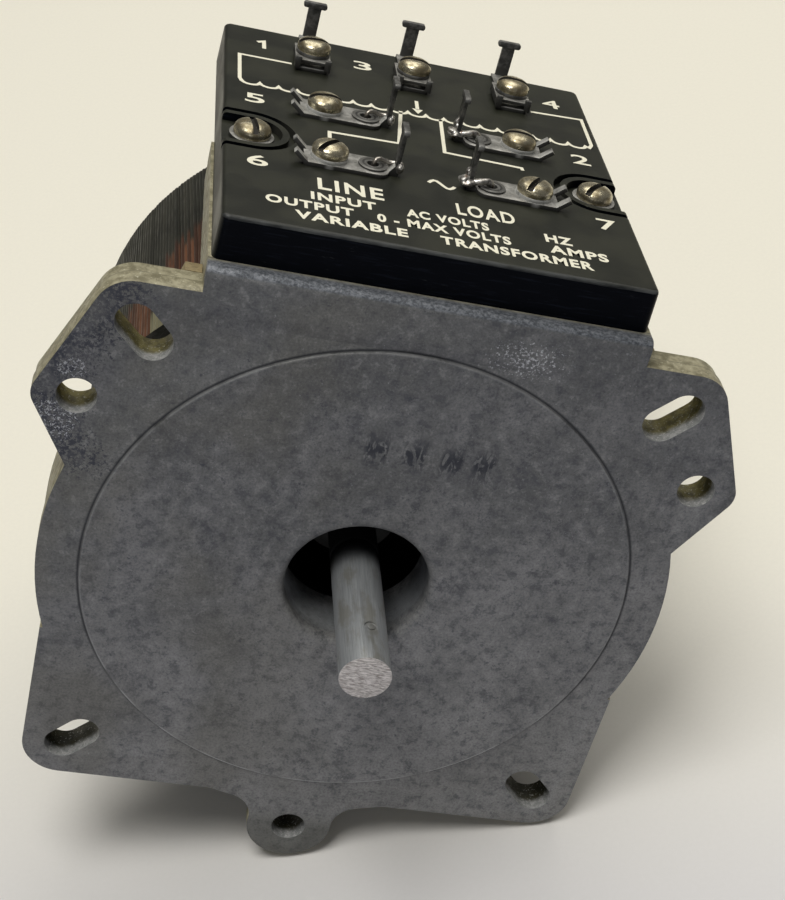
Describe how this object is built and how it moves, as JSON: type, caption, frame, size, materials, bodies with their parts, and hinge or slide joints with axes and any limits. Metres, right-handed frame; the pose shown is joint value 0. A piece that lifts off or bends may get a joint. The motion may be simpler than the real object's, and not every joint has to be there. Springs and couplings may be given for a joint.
{
  "type": "variable autotransformer",
  "caption": "Bare toroidal variable autotransformer with a die-cast mounting plate, through control shaft, rotary brush gear and a screw-terminal board.",
  "frame": {"origin": "on the shaft axis, at the front face of the mounting plate, the centre of the three-hole bolt circle", "axes": "-Y out of the plate along the free end of the shaft, +Y into the winding, +Z towards the terminal board"},
  "size_m": [0.1298, 0.1375, 0.1538],
  "materials": {
    "die_cast_alloy": "weathered",
    "machined_alloy": "satin",
    "radiator_alloy": "satin",
    "enamelled_wire": "varnished",
    "bare_copper": "polished",
    "core_steel": "oiled",
    "fibre": "matte",
    "tan_fibre": "matte",
    "black_fibre": "matte",
    "plated_steel": "tarnished",
    "bronze": "satin",
    "tarnished_brass": "tarnished",
    "phenolic": "satin",
    "tinned_copper": "satin",
    "lead_sleeve": "varnished",
    "shaft_steel": "satin",
    "carbon": "matte",
    "spring_steel": "satin"
  },
  "bodies": {
    "base": {"base_casting": "die_cast_alloy", "hub_tube": "machined_alloy", "coil_winding": "enamelled_wire", "brush_track": "bare_copper", "toroid_core": "core_steel", "core_cap_front": "fibre", "core_cap_rear": "fibre", "core_liner_outer": "fibre", "core_liner_inner": "fibre", "coil_pad_front": "fibre", "coil_pad_rear": "fibre", "fibre_wedges": "tan_fibre", "well_sleeve": "die_cast_alloy", "coil_clamp": "machined_alloy", "clamp_screws": "plated_steel", "stop_post": "plated_steel", "bushing_front": "bronze", "bushing_rear": "bronze", "takeoff_spring": "bronze", "takeoff_insulator": "tan_fibre", "takeoff_screw": "tarnished_brass", "terminal_board": "phenolic", "board_screws": "tarnished_brass", "board_washers": "plated_steel", "terminal_lug_1": "plated_steel", "saddle_clamp_1": "plated_steel", "terminal_lug_3": "plated_steel", "saddle_clamp_3": "plated_steel", "terminal_lug_4": "plated_steel", "saddle_clamp_4": "plated_steel", "terminal_lug_5": "plated_steel", "tap_wire_5": "tinned_copper", "terminal_lug_6": "plated_steel", "tap_wire_6": "tinned_copper", "terminal_lug_2": "plated_steel", "tap_wire_2": "tinned_copper", "terminal_lug_7": "plated_steel", "tap_wire_7": "tinned_copper", "eyelets": "plated_steel", "terminal_screws": "tarnished_brass", "terminal_washers": "plated_steel", "start_lead": "lead_sleeve", "finish_lead": "lead_sleeve", "takeoff_lead": "lead_sleeve"},
    "rotor": {"shaft": "shaft_steel", "shaft_collar": "plated_steel", "collar_set_screw": "plated_steel", "thrust_washer_front": "bronze", "thrust_washer_rear": "bronze", "insulating_sleeve": "black_fibre", "hub_ring": "plated_steel", "hub_set_screws": "plated_steel", "radiator": "radiator_alloy", "slip_ring": "bronze", "brush_holder": "bronze", "holder_screws": "plated_steel", "brush_cap": "bronze", "brush_spring": "spring_steel"},
    "brush": {"carbon_brush": "carbon"}
  },
  "joints": [
    {"name": "shaft_turn", "type": "hinge", "parent": "base", "child": "rotor", "pos_m": [0, 0, 0], "axis": [0, 1, 0], "range_deg": [-160, 160]},
    {"name": "brush_travel", "type": "slide", "parent": "rotor", "child": "brush", "axis": [0, 1, 0], "range_m": [0, 0.0025], "stiffness_N_per_m": 250, "springref_m": -0.006, "deforming": ["brush_spring"]}
  ]
}
